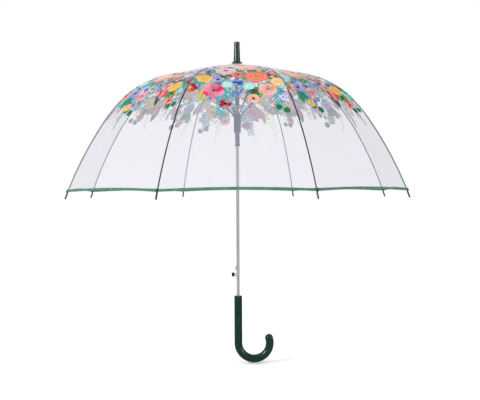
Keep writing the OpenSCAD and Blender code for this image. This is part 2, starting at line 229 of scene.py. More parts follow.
def plastic(name, low, high, rough, coat, bump, grain, metallic=0.0, stretch=(1, 1, 1), specular=0.5):
    """A moulded, painted or plated surface: slow colour drift, fine grain, and uneven gloss."""
    n = Nodes(name)
    shader = n.add("BsdfPrincipled", Metallic=metallic)
    shader.inputs["Specular IOR Level"].default_value = specular
    shader.inputs["Coat Weight"].default_value = coat
    shader.inputs["Coat Roughness"].default_value = 0.06
    n.link(n.ramp(n.noise(40, stretch=stretch), low, high), shader.inputs["Base Color"])
    n.link(n.range(n.noise(90, 6, stretch=stretch), *rough), shader.inputs["Roughness"])
    n.link(n.bump(n.noise(grain, 3, stretch=stretch), bump, 0.0003), shader.inputs["Normal"])
    return n.finish(shader.outputs["BSDF"])


def film_material(name, haze, slant, tint, clear, gloss_rough):
    """Clear film: most light goes straight through, a little is scattered, and more where the film turns away."""
    n = Nodes(name)
    through = n.add("BsdfTransparent", Color=(*clear, 1))
    scatter = n.add("BsdfPrincipled")
    scatter.inputs["Base Color"].default_value = (*tint, 1)
    scatter.inputs["Roughness"].default_value = gloss_rough
    scatter.inputs["Coat Weight"].default_value = 0.25
    scatter.inputs["Coat Roughness"].default_value = 0.04
    ripple = n.bump(n.noise(7, 2), 0.25, 0.004)
    n.link(ripple, scatter.inputs["Normal"])
    n.link(ripple, scatter.inputs["Coat Normal"])
    mix = n.add("MixShader")
    n.link(n.turned_away(haze, haze + slant, (0.6, 1.0)), mix.inputs["Fac"])
    n.link(through.outputs["BSDF"], mix.inputs[1])
    n.link(scatter.outputs["BSDF"], mix.inputs[2])
    return n.finish(mix.outputs["Shader"])


def ink_material():
    """Ink on film: each shape's own colour, streaked like brush strokes, with some light coming through, and a pale
    painted reflection where it is seen at a slant.
    """
    n = Nodes("printed_ink")
    ink = n.add("VertexColor", layer_name="ink")
    streak = n.noise(160, 5, 0.65, (1, 1, 0.35))
    dark = n.add("Mix", data_type="RGBA", blend_type="MULTIPLY")
    dark.inputs[0].default_value = 1.0
    n.link(ink.outputs["Color"], dark.inputs[6])
    n.link(n.ramp(streak, (0.8, 0.8, 0.8), (1, 1, 1), (0.32, 0.6)), dark.inputs[7])
    shader = n.add("BsdfPrincipled")
    n.link(dark.outputs[2], shader.inputs["Base Color"])
    n.link(n.range(streak, 0.32, 0.5), shader.inputs["Roughness"])
    n.link(n.bump(streak, 0.2, 0.0002), shader.inputs["Normal"])
    glow = n.add("BsdfTranslucent")
    n.link(dark.outputs[2], glow.inputs["Color"])
    mix = n.add("MixShader", Fac=0.25)
    n.link(shader.outputs["BSDF"], mix.inputs[1])
    n.link(glow.outputs["BSDF"], mix.inputs[2])
    # Painted reflection: a pale diffuse colour mixed over the ink where it is seen at a slant, in place of the
    # film's gloss reflecting white surroundings.
    painted_reflection = n.add("BsdfDiffuse", Color=(0.86, 0.84, 0.87, 1))
    ink_with_reflection = n.add("MixShader")
    n.link(n.turned_away(0.0, 0.75, (0.72, 1.0)), ink_with_reflection.inputs["Fac"])
    n.link(mix.outputs["Shader"], ink_with_reflection.inputs[1])
    n.link(painted_reflection.outputs["BSDF"], ink_with_reflection.inputs[2])
    return n.finish(ink_with_reflection.outputs["Shader"])


def rib_material():
    """Lacquered rod: dark along its outer side and paler slate where it faces the shaft; the dark outer side is
    painted shade.
    """
    n = Nodes("rib_lacquer")
    where = n.add("TexCoord")
    out = n.add("VectorMath", operation="MULTIPLY")
    out.inputs[1].default_value = (1, 1, 0)
    n.link(where.outputs["Object"], out.inputs[0])
    unit = n.add("VectorMath", operation="NORMALIZE")
    n.link(out.outputs["Vector"], unit.inputs[0])
    # Painted shade: the more the rod's surface faces away from the shaft, the darker it is painted.
    outward_shade = n.add("VectorMath", operation="DOT_PRODUCT")
    n.link(unit.outputs["Vector"], outward_shade.inputs[0])
    n.link(where.outputs["Normal"], outward_shade.inputs[1])
    speck_and_shade = n.add("Math", operation="MULTIPLY_ADD")
    speck_and_shade.inputs[1].default_value = 0.25
    n.link(n.noise(250, 3, stretch=(1, 1, 0.2)), speck_and_shade.inputs[0])
    n.link(outward_shade.outputs["Value"], speck_and_shade.inputs[2])
    shader = n.add("BsdfPrincipled")
    shader.inputs["Specular IOR Level"].default_value = 0.3
    shader.inputs["Coat Weight"].default_value = 0.5
    shader.inputs["Coat Roughness"].default_value = 0.08
    colour = n.ramp(speck_and_shade.outputs["Value"], (0.15, 0.19, 0.29), (0.012, 0.018, 0.034), (0.0, 0.35))
    n.link(colour, shader.inputs["Base Color"])
    n.link(n.range(n.noise(90, 6), 0.22, 0.34), shader.inputs["Roughness"])
    n.link(n.bump(n.noise(700, 3), 0.1, 0.0003), shader.inputs["Normal"])
    return n.finish(shader.outputs["BSDF"])


def tape_material():
    """Woven binding tape with a tight rib across it."""
    n = Nodes("hem_tape")
    where = n.add("TexCoord")
    weave = n.add("TexWave", Scale=900.0, Distortion=1.5, Detail=2.0)
    weave.bands_direction = "Z"
    n.link(where.outputs["Object"], weave.inputs["Vector"])
    shader = n.add("BsdfPrincipled", Roughness=0.55)
    shader.inputs["Sheen Weight"].default_value = 0.25
    n.link(n.ramp(n.noise(60, 6), (0.018, 0.115, 0.07), (0.045, 0.2, 0.13)), shader.inputs["Base Color"])
    n.link(n.bump(weave.outputs["Fac"], 0.35, 0.0004), shader.inputs["Normal"])
    return n.finish(shader.outputs["BSDF"])


MATERIALS = {
    "film": film_material("clear_film", 0.19, 0.12, (0.60, 0.595, 0.645), (0.948, 0.945, 0.963), 0.1),
    "seam": film_material("film_weld", 0.02, 0.20, (0.62, 0.62, 0.66), (0.935, 0.935, 0.95), 0.12),
    "ink": ink_material(),
    "tape": tape_material(),
    "shaft_steel": plastic(
        "plated_shaft", (0.36, 0.335, 0.36), (0.44, 0.41, 0.43),
        (0.32, 0.44), 0.0, 0.1, 500, 0.3, (1, 1, 0.08),
    ),
    "green_handle": plastic(
        "lacquered_green", (0.005, 0.024, 0.013), (0.009, 0.034, 0.020),
        (0.16, 0.24), 0.45, 0.06, 120, specular=0.25,
    ),
    "green_ferrule": plastic(
        "ferrule_green", (0.005, 0.028, 0.015), (0.010, 0.042, 0.023),
        (0.12, 0.2), 0.45, 0.06, 150, specular=0.25,
    ),
    "green_tip": plastic(
        "tip_green", (0.006, 0.034, 0.024), (0.010, 0.050, 0.035),
        (0.2, 0.3), 0.3, 0.1, 400, specular=0.25,
    ),
    "rib_rod": rib_material(),
    "linkage_steel": plastic(
        "slate_paint", (0.085, 0.110, 0.190), (0.125, 0.155, 0.240),
        (0.3, 0.42), 0.15, 0.1, 500, 0.1,
    ),
    "slate_plastic": plastic(
        "slate_moulding", (0.060, 0.082, 0.140), (0.095, 0.120, 0.190),
        (0.32, 0.44), 0.1, 0.2, 600,
    ),
    "bare_steel": plastic("bright_wire", (0.55, 0.55, 0.58), (0.66, 0.66, 0.70), (0.2, 0.32), 0.0, 0.08, 600, 1.0),
    "spring_steel": plastic("spring_wire", (0.58, 0.59, 0.64), (0.72, 0.73, 0.78), (0.2, 0.3), 0.0, 0.08, 600, 1.0),
    "catch_steel": plastic("catch_metal", (0.50, 0.42, 0.45), (0.60, 0.52, 0.55), (0.3, 0.42), 0.0, 0.12, 700, 0.5),
    "button_stem": plastic("stem_moulding", (0.50, 0.37, 0.32), (0.58, 0.45, 0.40), (0.4, 0.5), 0.0, 0.2, 600),
    "black_cap": plastic("cap_moulding", (0.004, 0.004, 0.004), (0.010, 0.010, 0.010), (0.3, 0.45), 0.2, 0.2, 500),
}
SLOT_OF = {entry["node"]: entry["material_slot"] for entry in frame["record"]["subparts"]}
for node_name, node_object in frame["nodes"].items():
    name = {"film": "seam", "green_hem": "tape"}.get(SLOT_OF[node_name], SLOT_OF[node_name])
    for material_slot in node_object.material_slots:
        material_slot.material = MATERIALS[name]


# ---------------------------------------------------------------- mesh helpers
def make_mesh(name, points, faces, materials, face_slots=None, normals=None):
    mesh = bpy.data.meshes.new(name)
    mesh.from_pydata([tuple(p) for p in points], [], [tuple(f) for f in faces])
    for material in materials:
        mesh.materials.append(material)
    if face_slots is not None:
        mesh.polygons.foreach_set("material_index", face_slots)
    mesh.polygons.foreach_set("use_smooth", [True] * len(mesh.polygons))
    if normals is not None:
        mesh.normals_split_custom_set_from_vertices(normals)
    mesh.update()
    piece = bpy.data.objects.new(name, mesh)
    scene.collection.objects.link(piece)
    return piece


def s_rows(start, end):
    """Lengths along the rib at which the film bends, from start to end."""
    first = math.floor(start / STRIP + 1e-6) + 1
    last = math.ceil(end / STRIP - 1e-6)
    return [start, *(i * STRIP for i in range(first, last)), end]


# ---------------------------------------------------------------- film
ACROSS = (0.0, 0.2, 0.4, 0.6, 0.8, 0.92)


def sector_columns(s):
    """Places across one rib's share of film, from the middle of one gore over the rib to the middle of the next."""
    width = half_width(s)
    weld = 1 - min(SEAM_HALF / width, 0.5)
    side = [u * weld for u in ACROSS] + [weld, 1 - (1 - weld) * 0.4]
    left = [(0, u) for u in side]
    right = [(1, -u) for u in reversed(side)]
    return left + [(0, 1.0)] + right


def hem_s(u):
    return HEM_S - HEM_RISE * (1 - u * u)


def film_piece(rib, part):
    start, end = (FILM_START, FLEX_S) if part == "inner" else (FLEX_S, HEM_S)
    rows = s_rows(start, end)
    points, faces, slots = [], [], []
    flat_from = HEM_S - HEM_EASE
    for s in rows:
        for side, u in sector_columns(s):
            here = s
            if s > flat_from:
                here = flat_from + (s - flat_from) * (hem_s(u) - flat_from) / (HEM_S - flat_from)
            points.append(gore_point(rib + side, here, u))
    n = len(sector_columns(start))
    weld_cols = range(len(ACROSS), n - 1 - len(ACROSS))
    for i in range(len(rows) - 1):
        for j in range(n - 1):
            faces.append((i * n + j, i * n + j + 1, (i + 1) * n + j + 1, (i + 1) * n + j))
            slots.append(1 if j in weld_cols else 0)
    piece = make_mesh(f"film_{part}_{rib + 1}", points, faces, [MATERIALS["film"], MATERIALS["seam"]], slots)
    return piece


# ---------------------------------------------------------------- print: shapes in the flat
class Print:
    """Flat shapes of colour on one gore. Places are (along the rib, across the gore) in millimetres."""

    def __init__(self):
        self.shapes = []

    def shape(self, points, colour, layer, edge=None):
        self.shapes.append((points, colour, edge or colour, layer))


def turned(points, angle, at):
    c, s = math.cos(angle), math.sin(angle)
    return [(at[0] + x * c - y * s, at[1] + x * s + y * c) for x, y in points]


def round_shape(r, n=14, wobble=0.0, lobes=5, phase=0.0):
    return [
        (
            r * (1 + wobble * math.cos(lobes * 2 * math.pi * i / n + phase)) * math.cos(2 * math.pi * i / n),
            r * (1 + wobble * math.cos(lobes * 2 * math.pi * i / n + phase)) * math.sin(2 * math.pi * i / n),
        )
        for i in range(n)
    ]


def lens(length, width, n=8, belly=0.45):
    """A pointed leaf or petal from the origin along +X, widest at belly."""
    top, low = [], []
    for i in range(n + 1):
        t = i / n
        w = width / 2 * math.sin(math.pi * t ** (math.log(0.5) / math.log(belly))) ** 0.8
        top.append((t * length, w))
        low.append((t * length, -w))
    return top + low[-2:0:-1]


def petal(length, width, n=7):
    """A rounded petal from the origin along +X, widest near its end."""
    points = [(0, 0)]
    for i in range(n + 1):
        a = -math.pi * 0.62 + math.pi * 1.24 * i / n
        points.append((length - width / 2 + width / 2 * math.cos(a), width / 2 * math.sin(a)))
    return points


def stroke(path, width):
    """A thin line along a path, narrower at its end."""
    left, right = [], []
    for i, (x, y) in enumerate(path):
        x0, y0 = path[max(i - 1, 0)]
        x1, y1 = path[min(i + 1, len(path) - 1)]
        size = math.hypot(x1 - x0, y1 - y0) or 1
        w = width / 2 * (1 - 0.6 * i / (len(path) - 1))
        left.append((x - (y1 - y0) / size * w, y + (x1 - x0) / size * w))
        right.append((x + (y1 - y0) / size * w, y - (x1 - x0) / size * w))
    return left + right[::-1]


def arc_path(length, bend, n=8):
    """Points of a stem from the origin along +X that bends by an angle."""
    x = y = 0.0
    out = [(0.0, 0.0)]
    for i in range(n):
        a = bend * (i + 0.5) / n
        x += length / n * math.cos(a)
        y += length / n * math.sin(a)
        out.append((x, y))
    return out


def shade(colour, k):
    return tuple(min(1.0, c * k) for c in colour)


def tint(colour, k):
    return tuple(c + (1 - c) * k for c in colour)


CORAL = (0.90, 0.16, 0.085)
ORANGE = (0.96, 0.27, 0.12)
PEACH = (0.95, 0.42, 0.30)
HOT_PINK = (0.88, 0.035, 0.20)
PINK = (0.90, 0.28, 0.38)
BLUSH = (0.90, 0.62, 0.62)
CRIMSON = (0.42, 0.008, 0.04)
GOLD = (0.93, 0.47, 0.045)
AQUA = (0.20, 0.66, 0.68)
TEAL = (0.03, 0.42, 0.44)
COBALT = (0.02, 0.10, 0.58)
LAVENDER = (0.38, 0.32, 0.72)
EMERALD = (0.012, 0.27, 0.13)
FOREST = (0.015, 0.105, 0.035)
OLIVE = (0.36, 0.36, 0.03)
LIME = (0.50, 0.52, 0.05)
SAGE = (0.10, 0.36, 0.22)
BLACK = (0.006, 0.005, 0.008)

SPRIG, BLOOM = 2, 3  # layers of ink: leaves lie lowest, then sprigs, then blooms
LARGE_R, MIDDLING_R = 21, 12.5  # the largest blooms are over the first radius, the small ones under the second
WINDOW, WINDOW_HALF = (282, 372), 21  # where the print thins out: along the rib, and to each side of the middle
PRINT_REACH = 318  # how far down the gore the foliage goes, and where the sprigs start
BLOOM_REACH = 326


class Garden(Print):
    """The motifs of the print. Every one is a generic painted flower, leaf or sprig."""

    def __init__(self, seed):
        super().__init__()
        self.dice = random.Random(seed)

    def jitter(self, k):
        return 1 + self.dice.uniform(-k, k)

    def leaf(self, at, angle, length, colour, layer=1, width=0.42):
        body = lens(length, length * width)
        self.shape(turned(body, angle, at), colour, layer, shade(colour, 1.25))
        rib = stroke([(length * 0.04, 0), (length * 0.5, 0), (length * 0.96, 0)], length * 0.035)
        self.shape(turned(rib, angle, at), shade(colour, 0.45), layer + 0.5)
        for i in range(1, 5):
            x = length * (0.12 + 0.17 * i)
            for side in (-1, 1):
                reach = length * width * 0.34 * math.sin(math.pi * min(x / length, 0.97))
                vein = stroke([(x, 0), (x + reach * 0.8, side * reach)], length * 0.02)
                self.shape(turned(vein, angle, at), tint(colour, 0.22), layer + 0.4)

    def feather(self, at, angle, length, colour, layer=1):
        path = arc_path(length, self.dice.uniform(-0.3, 0.3))
        self.shape(turned(stroke(path, length * 0.025), angle, at), shade(colour, 0.8), layer)
        for i, (x, y) in enumerate(path[1:]):
            size = length * 0.30 * (1 - 0.55 * i / len(path))
            for side in (-1, 1):
                blade = turned(lens(size, size * 0.3, 5), side * 0.75, (x, y))
                self.shape(turned(blade, angle, at), shade(colour, self.jitter(0.18)), layer + 0.1)

    def ranunculus(self, at, r, colour, heart):
        turn = self.dice.uniform(0, 6)
        for ring in range(5):
            k = 1 - ring * 0.17
            tone = tint(colour, 0.17) if ring % 2 else shade(colour, 0.95)
            outline = round_shape(r * k, 22, 0.055, 5 + ring % 2, turn + ring)
            self.shape(turned(outline, turn + ring * 0.7, at), tone, BLOOM + ring * 0.25, shade(tone, 1.08))
        self.shape(turned(round_shape(r * 0.27, 12, 0.06), turn, at), heart, BLOOM + 1.4)
        for i in range(8):
            a = turn + i * math.pi / 4
            dot = round_shape(r * 0.035, 6)
            spot = (at[0] + r * 0.18 * math.cos(a), at[1] + r * 0.18 * math.sin(a))
            self.shape(turned(dot, 0, spot), tint(heart, 0.5), BLOOM + 1.5)

    def rose(self, at, r, colour):
        turn = self.dice.uniform(0, 6)
        for ring, (k, count) in enumerate(((1.0, 6), (0.74, 5), (0.48, 4))):
            for i in range(count):
                a = turn + ring * 0.5 + i * 2 * math.pi / count
                blade = petal(r * k, r * k * 0.95)
                tone = shade(tint(colour, 0.16 * ((i + ring) % 3)), 1 - 0.12 * ring)
                self.shape(turned(blade, a, at), shade(tone, 0.8), BLOOM + ring * 0.4 + i * 0.03, tone)
        self.shape(turned(round_shape(r * 0.17, 10), 0, at), shade(colour, 0.35), BLOOM + 1.4)

    def poppy(self, at, r, colour, heart, petals=5):
        turn = self.dice.uniform(0, 6)
        for i in range(petals):
            a = turn + i * 2 * math.pi / petals
            blade = petal(r, r * 5.6 / petals)
            tone = tint(colour, 0.2 * (i % 2))
            self.shape(turned(blade, a, at), shade(tone, 0.86), BLOOM + i * 0.05, tone)
        self.shape(turned(round_shape(r * 0.24, 10, 0.1), turn, at), heart, BLOOM + 0.6)
        for i in range(10):
            a = turn + i * math.pi / 5
            spot = (at[0] + r * 0.36 * math.cos(a), at[1] + r * 0.36 * math.sin(a))
            self.shape(turned(round_shape(r * 0.04, 6), 0, spot), shade(heart, 1.5), BLOOM + 0.7)

    def daisy(self, at, r, colour, heart, petals=8):
        turn = self.dice.uniform(0, 6)
        for i in range(petals):
            a = turn + i * 2 * math.pi / petals
            blade = turned(petal(r, r * 0.7), a, at)
            self.shape(blade, tint(colour, 0.3 * (i % 2)), BLOOM + i * 0.02, tint(colour, 0.35))
        self.shape(turned(round_shape(r * 0.42, 12), 0, at), tint(colour, 0.55), BLOOM + 0.4)
        self.shape(turned(round_shape(r * 0.2, 8), 0, at), heart, BLOOM + 0.5)

    def bloom(self, at, r, colour):
        turn = self.dice.uniform(0, 6)
        self.shape(turned(round_shape(r, 16, 0.06), turn, at), colour, BLOOM, tint(colour, 0.15))
        for i in range(4):
            mark = stroke([(r * 0.2, 0), (r * 0.8, 0)], r * 0.09)
            self.shape(turned(mark, turn + i * 1.6, at), shade(colour, 0.75), BLOOM + 0.2)

    def berries(self, at, angle, length, colour):
        count = 9
        path = arc_path(length, self.dice.uniform(-0.5, 0.5))
        self.shape(turned(stroke(path, 1.0), angle, at), shade(SAGE, 0.8), SPRIG)
        for i in range(count):
            x, y = path[1 + i * (len(path) - 2) // count]
            side = (-1) ** i * length * 0.12 * self.jitter(0.4)
            tip = (x + length * 0.07, y + side)
            self.shape(turned(stroke([(x, y), tip], 0.7), angle, at), shade(SAGE, 0.9), SPRIG)
            dot = turned(round_shape(length * 0.05 * self.jitter(0.2), 9), 0, tip)
            self.shape(turned(dot, angle, at), tint(colour, 0.25 * (i % 2)), SPRIG + 0.3)

    def raceme(self, at, angle, length, colour):
        steps = 13
        path = arc_path(length, self.dice.uniform(-0.35, 0.35), steps)
        self.shape(turned(stroke(path, 1.2), angle, at), shade(colour, 0.6), SPRIG)
        for i in range(1, steps + 1):
            k = 1 - 0.7 * i / steps
            for side in (-1, 1):
                size = length * 0.115 * (0.4 + k * 0.75) * self.jitter(0.2)
                floret = turned(lens(size, size * 0.6, 5, 0.6), side * self.dice.uniform(0.7, 1.1), path[i])
                tone = shade(colour, self.dice.uniform(0.6, 1.0)) if (i + side) % 3 else tint(colour, 0.3)
                self.shape(turned(floret, angle, at), tone, SPRIG + 0.1 + 0.05 * side, tint(tone, 0.12))

    def trail(self, at, angle, length, colour):
        path = arc_path(length, self.dice.uniform(-0.45, 0.45), 12)
        self.shape(turned(stroke(path, 0.9), angle, at), shade(colour, 0.85), SPRIG)
        for i in range(2, 13):
            side = (-1) ** i * 2.2
            spot = (path[i][0], path[i][1] + side)
            size = 3.0 * (1 - 0.4 * i / 12)
            self.shape(turned(turned(lens(size * 2, size, 4), side * 0.35, spot), angle, at), colour, SPRIG + 0.1)

    def buds(self, at, angle, length, colour):
        for i, lean in enumerate((-0.45, -0.1, 0.3)):
            path = arc_path(length * (1 - 0.15 * i), lean)
            self.shape(turned(stroke(path, 0.9), angle, at), shade(SAGE, 0.7), SPRIG)
            bud = turned(lens(length * 0.38, length * 0.2, 6), lean, path[-1])
            self.shape(turned(bud, angle, at), colour, SPRIG + 0.2, tint(colour, 0.2))

    def pods(self, at, angle, length, colour):
        for lean in (-0.28, 0.25):
            path = arc_path(length * self.jitter(0.12), lean)
            self.shape(turned(stroke(path, 1.6), angle, at), tint(colour, 0.15), SPRIG)
            pod = turned(round_shape(length * 0.125, 14, 0.05, 2), lean, path[-1])
            self.shape(turned(pod, angle, at), colour, SPRIG + 0.2, shade(colour, 1.3))

    def little(self, at, r, colour, heart):
        turn = self.dice.uniform(0, 6)
        for i in range(5):
            a = turn + i * 2 * math.pi / 5
            self.shape(turned(petal(r, r * 0.85, 5), a, at), tint(colour, 0.2 * (i % 2)), BLOOM)
        self.shape(turned(round_shape(r * 0.26, 8), 0, at), heart, BLOOM + 0.3)


def half_width_mm(s):
    return half_width(s / 1000) * 1000


def in_window(s, t):
    """The print thins out in the middle of each gore, above the runner."""
    return WINDOW[0] < s < WINDOW[1] and abs(t) < WINDOW_HALF


def ground_cover(garden, spots, reach):
    """Leaves and fine foliage under the blooms."""
    colours = (EMERALD, FOREST, SAGE, OLIVE, EMERALD, TEAL, SAGE, LIME)
    for i in range(spots):
        s = 12 + (reach - 12) * garden.dice.random() ** 0.62
        t = garden.dice.uniform(-1, 1) * half_width_mm(s)
        if in_window(s + 15, t):
            continue
        turn = garden.dice.uniform(-1.3, 1.3) + (math.pi if s < 250 and garden.dice.random() < 0.4 else 0)
        size = garden.dice.uniform(26, 50)
        if i % 4 == 3:
            garden.feather((s, t), turn, size, (TEAL, SAGE, EMERALD)[i % 3], 0.5)
        else:
            garden.leaf((s, t), turn, size, colours[i % len(colours)], 1 + (i % 5) * 0.08, 0.4 * garden.jitter(0.2))


def place_bloom(garden, at, r, kind):
    """One bloom; kind counts up, so neighbours differ."""
    large = (
        lambda: garden.ranunculus(at, r, CORAL, OLIVE),
        lambda: garden.rose(at, r, HOT_PINK),
        lambda: garden.ranunculus(at, r, ORANGE, BLACK),
        lambda: garden.poppy(at, r, BLUSH, CRIMSON, 6),
        lambda: garden.rose(at, r, PEACH),
        lambda: garden.ranunculus(at, r, CORAL, BLACK),
        lambda: garden.poppy(at, r, CORAL, BLACK, 6),
    )
    middling = (
        lambda: garden.daisy(at, r, AQUA, GOLD),
        lambda: garden.poppy(at, r, PEACH, BLACK),
        lambda: garden.bloom(at, r, GOLD),
        lambda: garden.poppy(at, r, CRIMSON, GOLD),
        lambda: garden.poppy(at, r, LAVENDER, BLACK),
        lambda: garden.rose(at, r, PINK),
        lambda: garden.poppy(at, r, ORANGE, BLACK),
        lambda: garden.bloom(at, r, tint(GOLD, 0.2)),
    )
    small = (
        lambda: garden.little(at, r, COBALT, BLACK),
        lambda: garden.little(at, r, PINK, GOLD),
        lambda: garden.little(at, r, PEACH, CORAL),
        lambda: garden.daisy(at, r, LAVENDER, BLACK, 6),
        lambda: garden.little(at, r, CRIMSON, BLACK),
        lambda: garden.little(at, r, BLUSH, GOLD),
        lambda: garden.bloom(at, r, GOLD),
        lambda: garden.little(at, r, AQUA, GOLD),
    )
    choices = large if r > LARGE_R else middling if r > MIDDLING_R else small
    choices[kind % len(choices)]()


def plant_blooms(garden, placed, sizes, reach):
    """Blooms from the largest down, each in the first free place that the dice find."""
    for kind, r in enumerate(sizes):
        for _ in range(70):
            low = 24 + r * 1.2 if r > MIDDLING_R else 16
            s = garden.dice.uniform(low, reach - r * 0.4)
            t = garden.dice.uniform(-1, 1) * (half_width_mm(s) + r * 0.2)
            if in_window(s, t):
                continue
            if all(math.hypot(s - s2, t - t2) > (r + r2) * 0.93 for s2, t2, r2 in placed):
                placed.append((s, t, r))
                place_bloom(garden, (s, t), r, kind)
                break


def hang_sprigs(garden, start, count):
    """Sprigs that hang from the lower blooms, some long and some short."""
    for i in range(count):
        width = half_width_mm(start)
        t = width * (-0.94 + 1.88 * (i + 0.5) / count) + garden.dice.uniform(-5, 5)
        at = (start - garden.dice.uniform(0, 30) - (22 if abs(t) < WINDOW_HALF else 0), t)
        lean = -t / width * 0.08 + garden.dice.uniform(-0.18, 0.18)
        long = garden.dice.uniform(0.8, 1.15)
        sprigs = (
            lambda: garden.berries(at, lean, 66 * long, CORAL),
            lambda: garden.trail(at, lean, 118 * long, LIME),
            lambda: garden.pods(at, lean, 72 * long, shade(FOREST, 1.5)),
            lambda: garden.raceme(at, lean, 96 * long, tint(TEAL, 0.12)),
            lambda: garden.leaf(at, lean + 0.3, 58 * long, FOREST, 2.0, 0.32),
            lambda: garden.berries(at, lean, 72 * long, PINK),
            lambda: garden.buds(at, lean, 44 * long, COBALT),
            lambda: garden.trail(at, lean, 96 * long, OLIVE),
            lambda: garden.leaf(at, lean - 0.3, 54 * long, LIME, 2.0, 0.32),
            lambda: garden.feather(at, lean, 84 * long, TEAL, 1.9),
            lambda: garden.berries(at, lean, 60 * long, PEACH),
        )
        sprigs[(i * 4 + garden.dice.randrange(2)) % len(sprigs)]()


def make_garden(seed, heroes):
    """A whole gore: foliage, hanging sprigs, the listed blooms, and more in the gaps between them."""
    garden = Garden(seed)
    ground_cover(garden, 92, PRINT_REACH)
    hang_sprigs(garden, PRINT_REACH, 15)
    placed = []
    for s, share, r, paint in heroes:
        at = (s, share * half_width_mm(s))
        placed.append((*at, r))
        paint(garden, at, r)
    plant_blooms(garden, placed, [24, 26, 22] + [18, 15, 17, 14] * 3 + [10, 8, 11, 7] * 6, BLOOM_REACH)
    return garden


SEED_A, SEED_B = 11, 29
# Blooms listed one by one: along the rib in mm, share of the half width, radius in mm, and what to paint
HEROES_A = (
    (262, 0.46, 28, lambda g, at, r: g.ranunculus(at, r, CORAL, OLIVE)),
    (322, -0.44, 26, lambda g, at, r: g.rose(at, r, HOT_PINK)),
    (222, -0.30, 27, lambda g, at, r: g.poppy(at, r, BLUSH, CRIMSON, 6)),
    (318, 0.60, 23, lambda g, at, r: g.rose(at, r, PEACH)),
    (196, 0.28, 25, lambda g, at, r: g.ranunculus(at, r, ORANGE, BLACK)),
    (272, -0.72, 19, lambda g, at, r: g.bloom(at, r, GOLD)),
    (292, 0.02, 13, lambda g, at, r: g.little(at, r, COBALT, BLACK)),
    (366, -0.20, 15, lambda g, at, r: g.little(at, r, CRIMSON, BLACK)),
    (350, 0.30, 15, lambda g, at, r: g.poppy(at, r, PEACH, BLACK)),
    (300, -0.20, 14, lambda g, at, r: g.daisy(at, r, AQUA, GOLD)),
    (250, 0.03, 16, lambda g, at, r: g.poppy(at, r, CORAL, BLACK, 6)),
    (150, -0.05, 24, lambda g, at, r: g.rose(at, r, HOT_PINK)),
    (152, 0.62, 17, lambda g, at, r: g.poppy(at, r, CRIMSON, GOLD)),
    (346, 0.84, 12, lambda g, at, r: g.daisy(at, r, LAVENDER, BLACK, 6)),
)
HEROES_B = (
    (236, -0.40, 27, lambda g, at, r: g.ranunculus(at, r, CORAL, GOLD)),
    (246, 0.34, 25, lambda g, at, r: g.poppy(at, r, CRIMSON, GOLD, 6)),
    (306, -0.66, 19, lambda g, at, r: g.poppy(at, r, LAVENDER, BLACK)),
    (300, 0.62, 20, lambda g, at, r: g.bloom(at, r, GOLD)),
    (324, 0.36, 17, lambda g, at, r: g.little(at, r, HOT_PINK, GOLD)),
    (322, -0.30, 18, lambda g, at, r: g.rose(at, r, PINK)),
    (186, 0.02, 27, lambda g, at, r: g.rose(at, r, PEACH)),
    (286, 0.02, 15, lambda g, at, r: g.poppy(at, r, LAVENDER, BLACK)),
    (352, 0.66, 13, lambda g, at, r: g.little(at, r, CORAL, BLACK)),
    (358, -0.52, 12, lambda g, at, r: g.bloom(at, r, GOLD)),
    (262, -0.84, 16, lambda g, at, r: g.daisy(at, r, AQUA, GOLD)),
)


# ---------------------------------------------------------------- print: onto the film
INK_BACK = (0.58, 0.66, 0.78, 1.0)  # the ink's inner face is dulled by the film it is printed on
BACK_SHARE = 0.55
CUT_REACH, SLIVER = 1e-7, 1e-10  # points this near a cut lie on it, and faces smaller than this are dropped


def bisect(bm, place, normal, **clear):
    everything = bm.verts[:] + bm.edges[:] + bm.faces[:]
    bmesh.ops.bisect_plane(bm, geom=everything, plane_co=place, plane_no=normal, dist=CUT_REACH, **clear)


def flat_print(garden):
    """One gore's print as flat faces in (s, u), cut where the film bends, at the gore's middle and at the flex."""
    bm = bmesh.new()
    ink = bm.verts.layers.float_color.new("ink")
    for points, colour, edge, layer in garden.shapes:
        corners = [bm.verts.new((x / 1000, y / 1000, layer)) for x, y in points]
        for corner in corners:
            corner[ink] = (*edge, 1)
        face = bm.faces.new(corners)
        if edge != colour and len(points) > 4:
            middle = face.calc_center_median()
            centre = bmesh.ops.poke(bm, faces=[face])["verts"][0]
            centre.co = middle
            centre[ink] = (*colour, 1)
    bmesh.ops.triangulate(bm, faces=[f for f in bm.faces if len(f.verts) > 3])
    lengths = [v.co.x for v in bm.verts]
    cuts = [s for s in s_rows(0.0, max(lengths)) if s > 0] + [FLEX_S]
    for s in cuts:
        bisect(bm, (s, 0, 0), (1, 0, 0))
    bisect(bm, (PRINT_START, 0, 0), (1, 0, 0), clear_inner=True)
    for v in bm.verts:
        v.co.y /= max(half_width(v.co.x) - PRINT_EDGE, half_width(v.co.x) * PRINT_LEAST)
    for limit in (1, -1):
        bisect(bm, (0, limit, 0), (0, limit, 0), clear_outer=True)
    bisect(bm, (0, 0, 0), (0, 1, 0))
    bm.verts.index_update()
    places = [tuple(v.co) for v in bm.verts]
    inks = [tuple(v[ink]) for v in bm.verts]
    faces = []
    for face in bm.faces:
        if face.calc_area() > SLIVER:
            middle = face.calc_center_median()
            up = face.normal.z > 0
            corners = [v.index for v in face.verts]
            faces.append((middle.x < FLEX_S, middle.y > 0, corners if up else corners[::-1]))
    bm.free()
    return places, inks, faces


